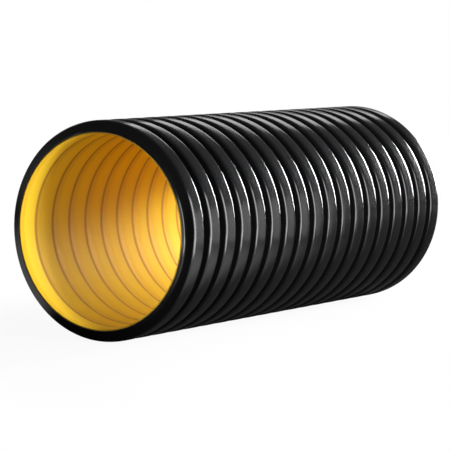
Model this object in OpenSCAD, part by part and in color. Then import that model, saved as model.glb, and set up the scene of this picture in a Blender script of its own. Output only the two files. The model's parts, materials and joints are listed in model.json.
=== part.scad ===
// Twin-wall corrugated drain pipe, lying on its side with its axis along X.
// A black outer wall stands up in hollow ring ribs, and a thin yellow liner
// makes the smooth bore. The two walls are welded together in every valley.

/* [Pipe] */
// Diameter of the bore, inside the liner
bore_d = 300; // [100:1:600]
// Number of ribs in this length of pipe
rib_count = 18; // [3:1:60]

/* [Ribs] */
// Height of a rib, from the valley to the crown
rib_height = 16.8; // [10:0.1:40]
// Distance from one rib to the next
pitch = 44; // [36:0.5:90]
// Width of the flat floor of a valley, where a coupling's rubber ring lies
valley_flat = 7.4; // [2:0.2:10]
// Radius of the gentle curve at each edge of a crown
crown_ease_r = 36; // [20:1:60]
// How far that curve turns down before the shoulder starts, in degrees
crown_ease = 9; // [3:0.5:12]
// Outer radius of the rounded shoulders of a rib
shoulder_r = 3; // [3:0.5:6]
// Radius of the fillets at the foot of a rib
foot_r = 3; // [1:0.5:4]
// Lean of the rib's flanks, in degrees
flank_lean = 6; // [0:0.5:10]

/* [Walls] */
// Thickness of the yellow liner
liner_wall = 1.8; // [1:0.1:4]
// Thickness of the black outer wall
outer_wall = 1.8; // [1:0.1:2.8]
// How much thinner the outer wall is where it is welded to the liner
weld_squeeze = 0.4; // [0.1:0.1:0.8]

/* [Liner rings] */
// Depth of the shallow ring that each weld draws into the bore
ring_depth = 0.5; // [0.1:0.1:0.8]
// Length of the ring's steep side, which faces the far end
ring_step = 2; // [0.5:0.1:4]
// Length of the ring's floor
ring_floor = 10; // [2:0.5:12]
// Length of the ring's gentle side
ring_ramp = 18; // [4:0.5:20]
// How far before the middle of the weld the ring starts
ring_lead = 4.5; // [0:0.5:8]

/* [Hidden] */

$fn = 128;
arc_steps = 4;
ease_steps = 3;

pipe_length = rib_count * pitch;
bore_r = bore_d / 2;
liner_r = bore_r + liner_wall;
valley_r = liner_r + outer_wall - weld_squeeze;
// Radius over the crowns, 170 for the sizes above, which a coupling sleeve fits
crown_r = valley_r + rib_height;

// A rib is drawn as points [along the pipe, radius], from its left foot to the
// middle of its crown. The foot's fillet, the shoulder and the crown's gentle
// curve are arcs, and a straight flank joins the first two. The foot is placed
// from the valley's width, so the crown's flat part takes what is left.
ease_centre_r = crown_r - crown_ease_r;
ease_width = (crown_ease_r - shoulder_r) * sin(crown_ease);
shoulder_centre_r = ease_centre_r + (crown_ease_r - shoulder_r) * cos(crown_ease);
foot_centre_r = valley_r + foot_r;
flank_length = (
    shoulder_centre_r - foot_centre_r + (shoulder_r + foot_r) * sin(flank_lean)
) / cos(flank_lean);
flank_width = (shoulder_r + foot_r) * cos(flank_lean) + flank_length * sin(flank_lean);

foot_centre = [-(pitch - valley_flat) / 2, foot_centre_r];
shoulder_centre = [foot_centre.x + flank_width, shoulder_centre_r];
ease_centre = [shoulder_centre.x + ease_width, ease_centre_r];
// Angle at which the inside of the foot runs down onto the liner
weld_angle = asin((foot_r + outer_wall - weld_squeeze) / (foot_r + outer_wall));

// Points on an arc, without the first one where another arc has just ended on it
function arc(centre, radius, from, to, steps, first = 0) = [
    for (i = [first : steps])
        let (angle = from + (to - from) * i / steps)
            centre + radius * [cos(angle), sin(angle)]
];

function mirrored(points) = [for (i = [len(points) - 1 : -1 : 0]) [-points[i].x, points[i].y]];

// One rib seen from outside (depth 0) or from its hollow inside (depth of the wall)
function half_rib(depth, foot_angle) = concat(
    arc(foot_centre, foot_r + depth, -foot_angle, -flank_lean, arc_steps),
    arc(shoulder_centre, shoulder_r - depth, 180 - flank_lean, 90 + crown_ease, arc_steps),
    arc(ease_centre, crown_ease_r - depth, 90 + crown_ease, 90, ease_steps, 1)
);

function rib(depth, foot_angle) =
    let (half = half_rib(depth, foot_angle)) concat(half, mirrored(half));

// Repeats one rib's points along the pipe, from end to end
function rib_row(points) = [
    for (i = [0 : rib_count - 1], point = points)
        [point.x + (i + 0.5) * pitch - pipe_length / 2, point.y]
];

function reversed(points) = [for (i = [len(points) - 1 : -1 : 0]) points[i]];

// Turns an outline of [along the pipe, radius] points into the pipe's solid
module turned(outline) {
    translate([0, 0, crown_r])
        rotate([0, 90, 0])
            rotate_extrude()
                polygon([for (point = outline) [point.y, point.x]]);
}

// Black outer wall: hollow ribs, cut off square in the middle of a valley
module corrugated_wall() {
    outside = rib_row(rib(0, 90));
    inside = rib_row(rib(outer_wall, weld_angle));
    ends = pipe_length / 2;
    color([0.05, 0.05, 0.05])
        turned(concat(
            [[-ends, liner_r], [-ends, valley_r]],
            outside,
            [[ends, valley_r], [ends, liner_r]],
            reversed(inside)
        ));
}

// Yellow liner: a straight bore with a shallow ring at each weld between the ends
module inner_liner() {
    ends = pipe_length / 2;
    ring = [
        [0, bore_r],
        [ring_step, bore_r + ring_depth],
        [ring_step + ring_floor, bore_r + ring_depth],
        [ring_step + ring_floor + ring_ramp, bore_r]
    ];
    rings = [
        for (i = [1 : rib_count - 1], point = ring)
            [point.x + i * pitch - ring_lead - ends, point.y]
    ];
    color([0.98, 0.82, 0.12])
        turned(concat(
            [[-ends, bore_r]],
            rings,
            [[ends, bore_r], [ends, liner_r], [-ends, liner_r]]
        ));
}

corrugated_wall();
inner_liner();
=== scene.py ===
# %% [markdown]
# A length of double-wall drain pipe lies on its side. Two layers were extruded and welded together
# while hot: a black outer wall, which vacuum moulds pull up into hollow ring ribs, and a yellow
# liner, which makes the bore. Both layers are round about one axis, so both can be turned as on a
# lathe: each is drawn as a short outline and spun. The packed model gives every main size, so the
# script starts by loading it.

# %% Load the packed model
import json
import math

import bmesh
import bpy
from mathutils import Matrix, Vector


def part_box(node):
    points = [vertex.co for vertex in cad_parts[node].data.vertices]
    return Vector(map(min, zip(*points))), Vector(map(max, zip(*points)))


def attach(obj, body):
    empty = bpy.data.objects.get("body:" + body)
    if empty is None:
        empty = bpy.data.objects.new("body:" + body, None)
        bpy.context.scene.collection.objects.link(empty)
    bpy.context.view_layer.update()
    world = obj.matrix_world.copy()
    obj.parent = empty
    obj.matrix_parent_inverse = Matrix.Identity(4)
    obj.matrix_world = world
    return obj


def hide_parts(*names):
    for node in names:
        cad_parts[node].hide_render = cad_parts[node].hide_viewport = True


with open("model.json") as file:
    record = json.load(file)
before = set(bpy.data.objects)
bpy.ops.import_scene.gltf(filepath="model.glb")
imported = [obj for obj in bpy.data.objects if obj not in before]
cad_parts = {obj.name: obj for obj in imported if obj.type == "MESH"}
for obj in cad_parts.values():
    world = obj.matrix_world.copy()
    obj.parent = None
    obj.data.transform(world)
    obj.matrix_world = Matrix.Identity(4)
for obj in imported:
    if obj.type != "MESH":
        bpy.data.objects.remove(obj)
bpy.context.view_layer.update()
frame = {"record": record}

mounts = {mount["name"]: mount for mount in frame["record"]["mounts"]}
wall_low, wall_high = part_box("corrugated_wall")
liner_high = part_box("inner_liner")[1]

pipe_length = wall_high.x - wall_low.x
pipe_end = pipe_length / 2
axis_height = mounts["bore"]["pos_m"][2]
crown_radius = mounts["outside"]["dims"]["r_mm"] / 1000
bore_radius = mounts["bore"]["dims"]["r_mm"] / 1000
liner_radius = liner_high.z - axis_height

print(f"pipe {pipe_length * 1000:.0f} mm long, axis {axis_height * 1000:.0f} mm above the floor")
print(f"crowns at {crown_radius * 1000:.1f} mm, liner from {bore_radius * 1000:.1f} "
      f"to {liner_radius * 1000:.2f} mm")

# %% [markdown]
# The ribs are the pipe's strength: a thin wall that stands off from the bore is as stiff as a thick
# one that doesn't. Each rib has a flat crown that eases down at both edges, rounded shoulders,
# leaning flanks that let it leave the mould, and a small fillet at its foot. The sizes below are
# those of the solid model, in metres.

# %% Sizes of one rib
rib_count = 18
pitch = pipe_length / rib_count
valley_flat = 0.0074
crown_ease_round = 0.036
crown_ease = math.radians(9)
shoulder_round = 0.003
foot_round = 0.003
flank_lean = math.radians(6)
wall = 0.0018
weld_squeeze = 0.0004
valley_radius = liner_radius + wall - weld_squeeze

print(f"pitch {pitch * 1000:.2f} mm, valley at {valley_radius * 1000:.2f} mm, "
      f"rib {1000 * (crown_radius - valley_radius):.1f} mm high")

# %% [markdown]
# An outline is a row of points, and Spin turns it into a shell. A full spin is told to merge its
# last step with its first. What comes later has to find one ring of edges again, by its place along
# the pipe and its radius.

# %% Spin an outline into a shell
turn_steps = 144
merge = 1e-5


def radius_of(point):
    return math.hypot(point.y, point.z)


def spin_outline(points):
    """Spins an open outline of (along the pipe, radius) points into a shell about the X axis."""
    shell = bmesh.new()
    row = [shell.verts.new((along, 0, radius)) for along, radius in points]
    edges = [shell.edges.new(pair) for pair in zip(row, row[1:])]
    bmesh.ops.spin(shell, geom=row + edges, cent=(0, 0, 0), axis=(1, 0, 0), dvec=(0, 0, 0),
                   angle=2 * math.pi, steps=turn_steps, use_merge=True, use_duplicate=False)
    bmesh.ops.remove_doubles(shell, verts=shell.verts, dist=merge)
    return shell


def ring_edges(shell, along, radius, near=2 * merge):
    """The edges of the ring that runs round the shell at this place."""
    def on_ring(vert):
        return abs(vert.co.x - along) < near and abs(radius_of(vert.co) - radius) < near
    return [edge for edge in shell.edges if on_ring(edge.verts[0]) and on_ring(edge.verts[1])]


print(f"a ring has {turn_steps} edges, "
      f"{1000 * 2 * math.pi * crown_radius / turn_steps:.1f} mm each at the crowns")

# %% [markdown]
# A rounded corner could be typed in as points along an arc. It is simpler to draw the rib with
# sharp corners, spin it, and let Bevel round each ring of edges. Bevel is told how far back from
# the corner it starts, so a radius is turned into that distance first: for a corner that turns by
# some angle it is the radius times the tangent of half the angle.

# %% Round a ring of edges
foot_turn = math.pi / 2 - flank_lean
shoulder_turn = foot_turn - crown_ease


def setback(rounding, turn):
    return rounding * math.tan(turn / 2)


def round_ring(shell, along, radius, offset, segments, clamp=False):
    """Rounds one ring of edges, starting this far back from the corner."""
    bmesh.ops.bevel(shell, geom=ring_edges(shell, along, radius), offset=offset,
                    offset_type="OFFSET", segments=segments, profile=0.5, affect="EDGES",
                    material=-1, clamp_overlap=clamp)


print(f"shoulder set back by {1000 * setback(shoulder_round, shoulder_turn):.2f} mm, "
      f"crown's edge by {1000 * setback(crown_ease_round, crown_ease):.2f} mm")

# %% [markdown]
# One pitch of the outer wall runs from mid-valley to mid-valley. The same function makes its
# outside and the hollow inside the rib: the hollow's outline lies one wall thickness deeper, so its
# shoulders have a smaller radius and its feet a larger one. Each side of a rib has three sharp
# corners to round, at the foot, the shoulder and the crown's edge. They are placed from the foot up.
# The hollow is closed and never seen, so its corners get fewer faces.

# %% One pitch of the outer wall, outside and hollow
def rib_shell(depth, foot_segments, shoulder_segments, crown_segments):
    """One pitch of the wall's surface at this depth below the outside."""
    crown = crown_radius - depth
    valley = valley_radius - depth
    foot_setback = setback(foot_round + depth, foot_turn)
    shoulder_setback = setback(shoulder_round - depth, shoulder_turn)
    crown_setback = setback(crown_ease_round - depth, crown_ease)

    slope = shoulder_setback + crown_setback
    shoulder = crown - slope * math.sin(crown_ease)
    half_foot = (pitch - valley_flat) / 2 - foot_setback
    half_shoulder = half_foot - (shoulder - valley) * math.tan(flank_lean)
    half_crown = half_shoulder - slope * math.cos(crown_ease)

    rise = [(-half_foot, valley), (-half_shoulder, shoulder), (-half_crown, crown)]
    fall = [(-along, radius) for along, radius in reversed(rise)]
    shell = spin_outline([(-pitch / 2, valley), *rise, *fall, (pitch / 2, valley)])
    for side in (-1, 1):
        round_ring(shell, side * half_foot, valley, foot_setback, foot_segments)
        round_ring(shell, side * half_shoulder, shoulder, shoulder_setback, shoulder_segments)
        if crown_segments:
            round_ring(shell, side * half_crown, crown, crown_setback, crown_segments)
    bmesh.ops.remove_doubles(shell, verts=shell.verts, dist=merge)
    return shell


outside = rib_shell(0, 3, 5, 3)
hollow = rib_shell(wall, 1, 1, 0)
print(f"one pitch: {len(outside.faces)} faces outside, {len(hollow.faces)} in the hollow")

# %% [markdown]
# An Array modifier could repeat the rib, but the ends still have to be closed by hand, so the copies
# are made in the mesh itself. Where two copies meet in mid-valley, their rings are merged. In the
# valleys the hot wall is pressed on the liner, so whatever of the inner surface reaches below the
# liner's outside is pushed back out to it.

# %% Repeat the rib along the pipe
def repeat_along(shell, count, step):
    """Copies a shell along the pipe, centred on the origin, and welds the copies together."""
    first = shell.verts[:] + shell.edges[:] + shell.faces[:]
    for number in range(1, count):
        copy = bmesh.ops.duplicate(shell, geom=first)["geom"]
        moved = [item for item in copy if isinstance(item, bmesh.types.BMVert)]
        bmesh.ops.translate(shell, verts=moved, vec=(number * step, 0, 0))
    bmesh.ops.translate(shell, verts=shell.verts, vec=(-(count - 1) * step / 2, 0, 0))
    bmesh.ops.remove_doubles(shell, verts=shell.verts, dist=merge)


def set_radius(vert, radius):
    vert.co.yz = vert.co.yz * (radius / radius_of(vert.co))


for shell in (outside, hollow):
    repeat_along(shell, rib_count, pitch)
for vert in hollow.verts:
    if radius_of(vert.co) < liner_radius:
        set_radius(vert, liner_radius)
print(f"{rib_count} ribs: {len(outside.faces)} faces outside, {len(hollow.faces)} in the hollows")

# %% [markdown]
# A saw leaves a flat ring at each end. It could be bridged between the two surfaces, but Bridge
# Loops also covers the open mouth. So the outer surface's last ring of edges is extruded and pulled
# in to the radius of the inner surface, where the two merge. The normals are worked out again after
# that, while the shell is closed, so that they all point out of the plastic. A saw leaves no knife
# edge either: the sawn corners get a small bevel.

# %% Close the ends and finish a piece
saw_break = 0.0003


def add_object(name, data):
    thing = bpy.data.objects.new(name, data)
    bpy.context.collection.objects.link(thing)
    return thing


def join_shells(first, second):
    """Puts the second shell into the first one."""
    passing = bpy.data.meshes.new("passing")
    second.to_mesh(passing)
    second.free()
    first.from_mesh(passing)
    bpy.data.meshes.remove(passing)


def close_ends(shell, outer, inner):
    """Makes the flat ring at both ends, from the outer radius to the inner one."""
    for end in (-pipe_end, pipe_end):
        ring = bmesh.ops.extrude_edge_only(shell, edges=ring_edges(shell, end, outer))["geom"]
        for item in ring:
            if isinstance(item, bmesh.types.BMVert):
                set_radius(item, inner)
    bmesh.ops.remove_doubles(shell, verts=shell.verts, dist=merge)
    bmesh.ops.recalc_face_normals(shell, faces=shell.faces)


def break_sawn_corners(shell, radius):
    """Bevels the sawn corner of this radius at both ends."""
    for end in (-pipe_end, pipe_end):
        round_ring(shell, end, radius, saw_break, 2)


def finish_piece(shell, name):
    """Turns a finished shell about X into an object that lies at the pipe's height."""
    bmesh.ops.recalc_face_normals(shell, faces=shell.faces)
    bmesh.ops.translate(shell, verts=shell.verts, vec=(0, 0, axis_height))
    for face in shell.faces:
        face.smooth = True
    triangles = sum(len(face.verts) - 2 for face in shell.faces)
    open_edges = sum(not edge.is_manifold for edge in shell.edges)
    print(f"{name}: {triangles} triangles, {open_edges} open edges")
    mesh = bpy.data.meshes.new(name)
    shell.to_mesh(mesh)
    shell.free()
    return add_object(name, mesh)


join_shells(outside, hollow)
close_ends(outside, valley_radius, liner_radius)
break_sawn_corners(outside, valley_radius)
outer_wall = finish_piece(outside, "ribbed_outer_wall")
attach(outer_wall, "root")
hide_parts("corrugated_wall")

# %% [markdown]
# The liner is smooth to the touch, but each weld draws it out a little, and the plastic shrinks
# back behind it as it cools. So every pitch has a low step, a shallow floor and two gentle slopes.
# The light that grazes the bore picks these out as rings. Bump could shade them, but they also
# change how the bore is lit, so they are real relief. The points give how far along a pitch they
# lie, in parts of a pitch from the middle of a weld, and how far the bore lies there outside its
# smallest radius, in metres.

# %% The yellow liner
ring_relief = [(-0.10, 0.0), (-0.055, 0.0005), (0.15, 0.0005), (0.19, 0.0006), (0.27, 0.0006),
               (0.42, 0.00032), (0.60, 0.00028), (0.78, 0.00004), (0.88, 0.0)]
ring_rounding = 0.0008


def liner_inside():
    """The bore's outline, from the near end to the far end."""
    points = [(-pipe_end, bore_radius)]
    for weld in range(1, rib_count):
        middle = weld * pitch - pipe_end
        points += [(middle + part * pitch, bore_radius + relief) for part, relief in ring_relief]
    return points + [(pipe_end, bore_radius)]


inside = liner_inside()
liner_shell = spin_outline(inside)
for along, radius in inside[1:-1]:
    round_ring(liner_shell, along, radius, ring_rounding, 1, clamp=True)

liner_back = spin_outline([(-pipe_end, liner_radius), (pipe_end, liner_radius)])
join_shells(liner_shell, liner_back)
close_ends(liner_shell, liner_radius, bore_radius)
break_sawn_corners(liner_shell, bore_radius)
liner = finish_piece(liner_shell, "smooth_liner")
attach(liner, "root")
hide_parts("inner_liner")

# %% [markdown]
# Shader maths reads best as a formula. A small class wraps a node's output socket, so that adding
# or multiplying two of them adds the Math node. Every other node comes from one method that takes
# the node's type, its settings and what goes into its sockets. The same class serves the materials
# and the world, because both are trees of nodes.

# %% Shader maths as Python expressions
class Signal:
    """A number, colour or shader that changes over the surface: a socket to use in formulas."""

    def __init__(self, board, socket):
        self.board = board
        self.socket = socket

    def __add__(self, other):
        return self.board.math("ADD", self, other)

    def __sub__(self, other):
        return self.board.math("SUBTRACT", self, other)

    def __rsub__(self, other):
        return self.board.math("SUBTRACT", other, self)

    def __mul__(self, other):
        return self.board.math("MULTIPLY", self, other)

    def __truediv__(self, other):
        return self.board.math("DIVIDE", self, other)

    __radd__ = __add__
    __rmul__ = __mul__

    def fraction(self):
        return self.board.math("FRACT", self)

    def size(self):
        return self.board.math("ABSOLUTE", self)


class NodeBoard:
    """A tree of nodes, built node by node from an empty one."""

    def __init__(self, owner):
        owner.use_nodes = True
        self.tree = owner.node_tree
        self.tree.nodes.clear()

    def node(self, kind, settings, inputs, output=0):
        """Adds a node. inputs is a list in socket order, or names or numbers with their values."""
        node = self.tree.nodes.new(kind)
        for key, value in settings.items():
            setattr(node, key, value)
        pairs = inputs.items() if isinstance(inputs, dict) else enumerate(inputs)
        for key, value in pairs:
            if isinstance(value, Signal):
                self.tree.links.new(value.socket, node.inputs[key])
            else:
                node.inputs[key].default_value = value
        return Signal(self, node.outputs[output]) if node.outputs else None

    def math(self, operation, *values):
        return self.node("ShaderNodeMath", {"operation": operation}, values)

    def larger(self, first, second):
        return self.math("MAXIMUM", first, second)

    def part(self, vector, letter):
        return self.node("ShaderNodeSeparateXYZ", {}, [vector], letter)

    def rays(self, kind):
        """1 for rays of this kind, such as the camera's, and 0 for all others."""
        return self.node("ShaderNodeLightPath", {}, {}, kind)

    def ramp(self, value, low, high, start=0.0, stop=1.0):
        """start below low, stop above high, and smooth between them."""
        return self.node("ShaderNodeMapRange", {"interpolation_type": "SMOOTHSTEP"},
                         {"Value": value, "From Min": low, "From Max": high,
                          "To Min": start, "To Max": stop})


print("operators of a socket:", [name for name in vars(Signal) if name.startswith("__r")])

# %% [markdown]
# A finish is a material with some tools of its own. Its pattern has to stay on the pipe, whichever
# way the pipe is seen, so it reads Object coordinates, moved so that zero is on the pipe's axis.
# Noise is stretched by multiplying these, which gives streaks round the pipe or lines along it.

# %% Tools for a finish
WHITE = (1.0, 1.0, 1.0, 1.0)


def colour(red, green, blue):
    return (red, green, blue, 1.0)


class Finish(NodeBoard):
    """A material that is built node by node."""

    def __init__(self, name):
        self.material = bpy.data.materials.new(name)
        super().__init__(self.material)

    def place(self):
        """Coordinates centred on the pipe's axis."""
        coordinates = self.node("ShaderNodeTexCoord", {}, {}, "Object")
        return self.node("ShaderNodeMapping", {}, {"Vector": coordinates,
                                                   "Location": (0, 0, -axis_height)})

    def radius(self, place):
        """The distance from the pipe's axis."""
        across = self.node("ShaderNodeVectorMath", {"operation": "MULTIPLY"}, [place, (0, 1, 1)])
        return self.node("ShaderNodeVectorMath", {"operation": "LENGTH"}, [across], "Value")

    def noise(self, place, lumps, detail=3.0, roughness=0.5):
        """Noise with so many lumps per metre along X, Y and Z."""
        scaled = self.node("ShaderNodeVectorMath", {"operation": "MULTIPLY"}, [place, lumps])
        return self.node("ShaderNodeTexNoise", {}, {"Vector": scaled, "Scale": 1.0,
                                                    "Detail": detail, "Roughness": roughness})

    def blend(self, share, first, second):
        """Mixes two colours. A Mix node has sockets for each kind of value, so it takes numbers."""
        return self.node("ShaderNodeMix", {"data_type": "RGBA"}, {0: share, 6: first, 7: second}, 2)

    def bump(self, height, distance):
        return self.node("ShaderNodeBump", {}, {"Height": height, "Distance": distance})

    def glow(self, strength):
        return self.node("ShaderNodeEmission", {}, {"Color": WHITE, "Strength": strength})

    def surface(self, shader):
        self.node("ShaderNodeOutputMaterial", {}, {"Surface": shader})
        return self.material

    def plastic(self, sockets):
        return self.surface(self.node("ShaderNodeBsdfPrincipled", {}, sockets))


print("tools for a finish:", [name for name in vars(Finish) if not name.startswith("_")])

# %% [markdown]
# The outer wall is black polyethylene straight from the mould. A plain dark gloss would look like
# paint, so it gets what moulding and handling leave: flow marks that run round the pipe, a fine
# grain, scuffs on the crowns, where the pipe was rolled about, and a trace of dust in the valleys.
# The sawn ring at each end is matt. The colour is close to zero, as black pipe is, and what shows
# of the ribs is what their gloss mirrors.

# %% Black plastic
def black_plastic():
    finish = Finish("black_moulded_plastic")
    place = finish.place()
    radius = finish.radius(place)
    along = finish.part(place, "X")

    crown = finish.ramp(radius, crown_radius - 0.004, crown_radius - 0.0005)
    valley = 1 - finish.ramp(radius, valley_radius + 0.001, valley_radius + 0.008)
    sawn = finish.ramp(along.size(), pipe_end - 0.0004, pipe_end - 0.0002)

    drift = finish.noise(place, (9, 9, 9), 2)
    flow = finish.noise(place, (600, 22, 22), 3)
    grain = finish.noise(place, (900, 900, 900), 2)
    streaks = finish.noise(place, (900, 34, 34), 4, 0.6)
    scuffs = crown * finish.ramp(streaks, 0.52, 0.74)

    dust = valley * finish.ramp(drift, 0.35, 0.75) * 0.5 + scuffs * 0.6
    base = finish.blend(dust, colour(0.0025, 0.0025, 0.0028), colour(0.008, 0.0077, 0.0073))
    base = finish.blend(sawn, base, colour(0.005, 0.005, 0.005))
    roughness = 0.145 + 0.05 * drift + 0.03 * flow + scuffs * 0.02 + sawn * 0.35
    relief = flow * 0.3 + grain * 0.08 + scuffs * 0.05
    return finish.plastic({"Base Color": base, "Roughness": roughness, "IOR": 1.5,
                           "Specular IOR Level": 0.5, "Normal": finish.bump(relief, 0.00007)})


outer_wall.data.materials.append(black_plastic())
print("materials on the outer wall:", [material.name for material in outer_wall.data.materials])

# %% [markdown]
# The liner is yellow polyethylene, drawn over the extruder's smooth plug, which leaves fine lines
# along the pipe. Round each weld the yellow is darkened to amber, and darkest at the step on the
# weld's edge: this is painted shade that stands in for the shading of the ring steps. Its shine is
# weak: the bore mirrors only itself, and a strong shine would wash the yellow out. How far a point
# lies along its pitch comes from the fraction of its place over the pitch, from -0.5 to 0.5 with the
# weld at zero.

# %% Yellow plastic
def yellow_plastic():
    finish = Finish("yellow_extruded_plastic")
    place = finish.place()
    along = finish.part(place, "X")
    cycle = ((along + pipe_end) / pitch + 0.5).fraction() - 0.5

    # weld and edge are masks of painted shade: amber round each weld and brown at its step, where the
    # rings would be shaded
    weld = finish.ramp(cycle, -0.12, -0.07) * (1 - finish.ramp(cycle, 0.18, 0.32))
    edge = finish.ramp(cycle, -0.21, -0.11) * (1 - finish.ramp(cycle, -0.08, 0.06))
    lines = finish.noise(place, (3, 160, 160), 3)
    drift = finish.noise(place, (14, 8, 8), 3)
    grain = finish.noise(place, (700, 700, 700), 2)

    base = finish.blend(drift, colour(0.88, 0.59, 0.035), colour(0.92, 0.645, 0.045))
    base = finish.blend(weld * 0.5, base, colour(0.62, 0.34, 0.02))
    base = finish.blend(edge * 0.72, base, colour(0.25, 0.09, 0.02))
    roughness = 0.46 + 0.08 * drift + 0.06 * lines + 0.2 * edge
    relief = lines * 0.5 + grain * 0.2
    return finish.plastic({"Base Color": base, "Roughness": roughness, "IOR": 1.5,
                           "Specular IOR Level": 0.05, "Normal": finish.bump(relief, 0.00015)})


liner.data.materials.append(yellow_plastic())
print("materials on the liner:", [material.name for material in liner.data.materials])

# %% [markdown]
# The pipe is shown on white. A white floor would throw light up under it and be mirrored in every
# rib, so the floor is a sheet of dark paper, and rays from the camera alone see it lifted to a pale
# tone. That keeps the pipe's soft shadow. Further off the camera sees plain white. In reflections a
# white patch lies on the floor beside the pipe's near half, starting closer to the pipe at the near
# end. It draws the pale line along the left shoulder of each rib. The distant floor is mirrored
# faintly, and behind the camera it is dark.

# %% Floor
floor_reach = 30
paper_tone = 0.035
paper_lift = 0.93
distant_tone = 0.2
patch_slant = 0.12


def pale_floor():
    finish = Finish("pale_floor")
    place = finish.node("ShaderNodeTexCoord", {}, {}, "Object")
    aside = finish.part(place, "Y").size()
    along = finish.part(place, "X")
    camera = finish.rays("Is Camera Ray")
    mirror = finish.larger(finish.rays("Is Glossy Ray"), finish.rays("Is Transmission Ray"))

    near = (1 - finish.ramp(aside, 0.28, 0.62)) * (1 - finish.ramp(along.size(), 0.6, 1.1))
    patch = finish.ramp(aside - along * patch_slant, 0.20, 0.34)
    patch = patch * (1 - finish.ramp(along, -0.3, 0.55))
    distant = distant_tone * finish.ramp(aside, 1.5, 3)
    mirrored = finish.ramp(along, -1.6, -0.7) * (patch + distant)
    white = finish.larger((1 - near) * camera, mirror * mirrored)

    tone = colour(paper_tone, paper_tone, paper_tone)
    paper = finish.node("ShaderNodeBsdfDiffuse", {}, {"Color": tone})
    lifted = finish.node("ShaderNodeAddShader", {}, [paper, finish.glow(camera * paper_lift)])
    return finish.surface(finish.node("ShaderNodeMixShader", {}, [white, lifted, finish.glow(1.0)]))


floor_mesh = bpy.data.meshes.new("floor")
sheet = bmesh.new()
bmesh.ops.create_grid(sheet, x_segments=1, y_segments=1, size=floor_reach)
sheet.to_mesh(floor_mesh)
sheet.free()
floor = add_object("floor", floor_mesh)
floor.data.materials.append(pale_floor())
print(f"floor {2 * floor_reach} m wide, paper tone {paper_tone}, lifted by {paper_lift}")

# %% [markdown]
# The room is white for the camera. On everything else it throws a little plain light. What it gives
# to reflections is drawn as a photographer would flag a black object: paler near the horizon than
# overhead, dark behind the camera, and pale again behind the pipe, where the back is seen against it.

# %% Room
plain_light = 0.1

world = bpy.data.worlds.new("studio")
bpy.context.scene.world = world
room = NodeBoard(world)
direction = room.node("ShaderNodeTexCoord", {}, {}, "Generated")
horizon = room.ramp(room.part(direction, "Z"), 0.0, 0.25, 0.3, 0.06)
ahead = room.ramp(room.part(direction, "X"), -0.5, 0.0, 0.1, 1.0)
behind = room.ramp(room.part(direction, "Y"), 0.65, 0.95, 0.0, 0.5)
mirrored_room = room.rays("Is Glossy Ray") * room.larger(horizon * ahead, behind)
strength = room.larger(room.larger(room.rays("Is Camera Ray"), mirrored_room), plain_light)
backdrop = room.node("ShaderNodeBackground", {}, {"Color": WHITE, "Strength": strength})
room.node("ShaderNodeOutputWorld", {}, {"Surface": backdrop})
print(f"room: {len(room.tree.nodes)} nodes, plain light {plain_light}")

# %% [markdown]
# On black plastic a lamp is seen as its own reflection, so each lamp stands where one part of a rib
# mirrors it. The large one at the side shows on the crowns at mid-height, and a low strip and a weak
# card near it show on the left shoulders. The lamp beyond the far end grazes every rib and
# draws the white line along each right shoulder. The one above it puts the sheen on the upper
# crowns, and the one behind lights the side that the camera doesn't see.
# The liner is lit through both mouths. Those two lamps would put a glare on it, so they are kept out
# of reflections. The camera sees none of the lamps.

# %% Lamps
def soft_lamp(name, place, aim, width, height, power, mirrored=True):
    """A rectangular lamp that faces its aim. Sizes are in metres and the power in watts."""
    light = bpy.data.lights.new(name, "AREA")
    light.shape = "RECTANGLE"
    light.size = width
    light.size_y = height
    light.energy = power
    lamp = add_object(name, light)
    lamp.location = place
    lamp.rotation_euler = (Vector(aim) - Vector(place)).to_track_quat("-Z", "Y").to_euler()
    lamp.visible_camera = False
    lamp.visible_glossy = mirrored
    return lamp


middle = (0, 0, axis_height)
far_mouth = (pipe_end, 0, axis_height)
near_mouth = (-pipe_end, 0.1, axis_height)
lamps = [
    soft_lamp("side", (-0.13, -0.90, 0.33), (-0.13, 0, 0.30), 0.95, 0.60, 15),
    soft_lamp("low_strip", (-0.42, -0.50, 0.065), (-0.42, 0, 0.10), 0.65, 0.1, 1.6),
    soft_lamp("front_card", (0.36, -0.62, 0.18), (-0.37, -0.17, 0.18), 0.4, 0.34, 0.34),
    soft_lamp("far_end", (2.95, -0.24, 0.64), middle, 0.76, 0.80, 105),
    soft_lamp("overhead", (2.35, 1.0, 1.45), middle, 1.0, 0.6, 3),
    soft_lamp("behind", (0.3, 1.7, 1.3), middle, 1.2, 0.6, 10),
    soft_lamp("into_far_mouth", (2.70, -1.19, 0.97), far_mouth, 1.1, 0.3, 190, mirrored=False),
    soft_lamp("into_near_mouth", (-0.60, -1.75, 0.42), near_mouth, 0.32, 0.5, 32, mirrored=False),
]
print("lamps:", [f"{lamp.name} {lamp.data.energy:g} W" for lamp in lamps])

# %% [markdown]
# The camera stands where the photographer's did. Its place was found by fitting the near rim, the
# ribs and the outline to the photo: the view runs 33 degrees off the pipe's axis and looks down by
# less than 5 degrees, through a long lens. The view transform is Standard, so that a colour comes
# out as it is written.

# %% Camera
camera_place = (-3.4019, -2.1630, 0.4821)
camera_yaw = math.radians(32.762)
camera_tilt = math.radians(4.663)
sensor_width = 36
focal_length = 195.15

camera_data = bpy.data.cameras.new("camera")
camera_data.sensor_width = sensor_width
camera_data.lens = focal_length
camera = add_object("camera", camera_data)
camera.location = camera_place
camera.rotation_euler = (math.pi / 2 - camera_tilt, 0, camera_yaw - math.pi / 2)
bpy.context.scene.camera = camera
bpy.context.scene.view_settings.view_transform = "Standard"
print(f"camera {Vector(camera_place).length:.2f} m away, {focal_length} mm lens")

# %% [markdown]
# The visual pieces are drawn to stay inside the solid model's box.
